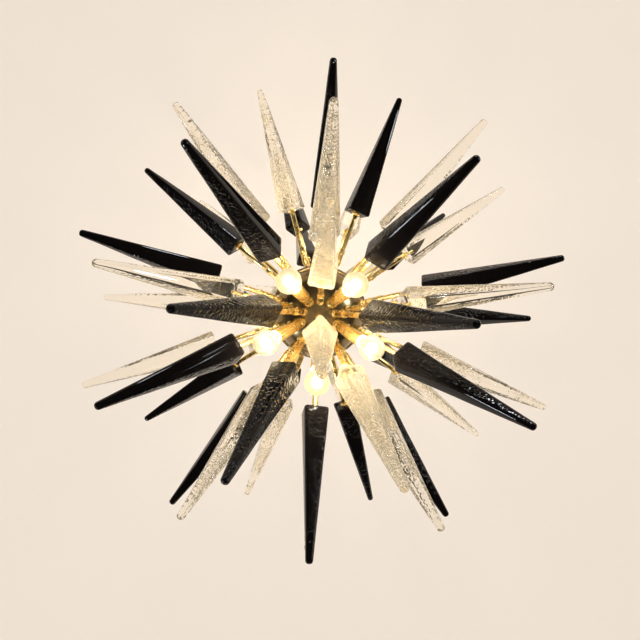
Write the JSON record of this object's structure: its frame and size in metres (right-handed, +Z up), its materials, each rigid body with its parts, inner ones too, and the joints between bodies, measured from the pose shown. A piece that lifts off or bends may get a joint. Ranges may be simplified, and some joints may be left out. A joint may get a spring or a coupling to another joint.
{
  "type": "sputnik chandelier",
  "caption": "Sputnik chandelier: tapered square glass spikes, black and clear, on brass rods around a lamp-lit spun hub, on a straight stem with a domed ceiling canopy.",
  "frame": {"origin": "centre of the two ceiling bolt holes, in the ceiling plane, on the stem's axis", "axes": "+Z up into the ceiling along the stem; +X along the ceiling bracket; the pole spike points to -Z"},
  "size_m": [0.9394, 0.9167, 1.034],
  "materials": {
    "black_glass": "glossy black cast glass",
    "clear_glass": "clear cast glass full of small bubbles",
    "opal_glass": "frosted opal lamp glass",
    "bulb_cap": "nickel-plated lamp cap",
    "core_brass": "machined brass",
    "bracket_steel": "zinc-plated steel",
    "screw_brass": "plain brass",
    "block_plastic": "natural nylon",
    "holder_plastic": "moulded heat-resistant plastic",
    "cable_sheath": "silicone sheath",
    "contact_brass": "spring brass",
    "spun_brass": "polished spun brass",
    "polished_brass": "polished brass"
  },
  "bodies": {
    "frame": {"bracket_earth_screw": "screw_brass", "bracket_nipple": "bracket_steel", "ceiling_bracket": "bracket_steel", "ceiling_terminal_block": "block_plastic", "core_screws": "screw_brass", "glass_seats": "polished_brass", "holder_contacts": "contact_brass", "hub_core_lower": "core_brass", "hub_core_upper": "core_brass", "hub_lower_shell": "spun_brass", "hub_rim_band": "spun_brass", "hub_spacer": "polished_brass", "hub_terminal_block": "block_plastic", "hub_top_nut": "polished_brass", "hub_upper_shell": "spun_brass", "lamp_cups": "polished_brass", "lamp_leads": "cable_sheath", "lamp_nipples": "polished_brass", "lamp_sleeves": "polished_brass", "lampholders": "holder_plastic", "nipple_nuts": "bracket_steel", "rod_collars": "polished_brass", "shell_nuts": "polished_brass", "shell_studs": "polished_brass", "spike_rods": "polished_brass", "spikes_black_ring_1": "black_glass", "spikes_black_ring_2": "black_glass", "spikes_black_ring_3": "black_glass", "spikes_black_ring_4": "black_glass", "spikes_black_ring_5": "black_glass", "spikes_black_ring_6": "black_glass", "spikes_clear_pole": "clear_glass", "spikes_clear_ring_1": "clear_glass", "spikes_clear_ring_2": "clear_glass", "spikes_clear_ring_3": "clear_glass", "spikes_clear_ring_4": "clear_glass", "spikes_clear_ring_5": "clear_glass", "spikes_clear_ring_6": "clear_glass", "stem_tube": "polished_brass", "supply_cable": "cable_sheath"},
    "canopy_slider": {"canopy": "spun_brass", "canopy_collar": "polished_brass", "collar_screw": "screw_brass"},
    "bulb_1": {"bulb_glass_1": "opal_glass", "bulb_cap_1": "bulb_cap"},
    "bulb_2": {"bulb_glass_2": "opal_glass", "bulb_cap_2": "bulb_cap"},
    "bulb_3": {"bulb_glass_3": "opal_glass", "bulb_cap_3": "bulb_cap"},
    "bulb_4": {"bulb_glass_4": "opal_glass", "bulb_cap_4": "bulb_cap"},
    "bulb_5": {"bulb_glass_5": "opal_glass", "bulb_cap_5": "bulb_cap"},
    "bulb_6": {"bulb_glass_6": "opal_glass", "bulb_cap_6": "bulb_cap"},
    "bulb_7": {"bulb_glass_7": "opal_glass", "bulb_cap_7": "bulb_cap"},
    "bulb_8": {"bulb_glass_8": "opal_glass", "bulb_cap_8": "bulb_cap"}
  },
  "joints": [
    {"name": "canopy_slide", "type": "slide", "parent": "frame", "child": "canopy_slider", "axis": [0, 0, -1], "range_m": [0, 0.15]},
    {"name": "bulb_1_turn", "type": "hinge", "parent": "frame", "child": "bulb_1", "pos_m": [0.09076, 0.02949, -0.73576], "axis": [0.4538, 0.1475, -0.8788], "range_deg": [0, 1440]},
    {"name": "bulb_2_turn", "type": "hinge", "parent": "frame", "child": "bulb_2", "pos_m": [0, 0.09543, -0.73576], "axis": [0, 0.4772, -0.8788], "range_deg": [0, 1440]},
    {"name": "bulb_3_turn", "type": "hinge", "parent": "frame", "child": "bulb_3", "pos_m": [-0.09076, 0.02949, -0.73576], "axis": [-0.4538, 0.1475, -0.8788], "range_deg": [0, 1440]},
    {"name": "bulb_4_turn", "type": "hinge", "parent": "frame", "child": "bulb_4", "pos_m": [-0.05609, -0.07721, -0.73576], "axis": [-0.2805, -0.386, -0.8788], "range_deg": [0, 1440]},
    {"name": "bulb_5_turn", "type": "hinge", "parent": "frame", "child": "bulb_5", "pos_m": [0.05609, -0.07721, -0.73576], "axis": [0.2805, -0.386, -0.8788], "range_deg": [0, 1440]},
    {"name": "bulb_6_turn", "type": "hinge", "parent": "frame", "child": "bulb_6", "pos_m": [0.1345, 0.0437, -0.41858], "axis": [0.6725, 0.2185, 0.7071], "range_deg": [0, 1440]},
    {"name": "bulb_7_turn", "type": "hinge", "parent": "frame", "child": "bulb_7", "pos_m": [-0.1345, 0.0437, -0.41858], "axis": [-0.6725, 0.2185, 0.7071], "range_deg": [0, 1440]},
    {"name": "bulb_8_turn", "type": "hinge", "parent": "frame", "child": "bulb_8", "pos_m": [0, -0.14142, -0.41858], "axis": [0, -0.7071, 0.7071], "range_deg": [0, 1440]}
  ]
}
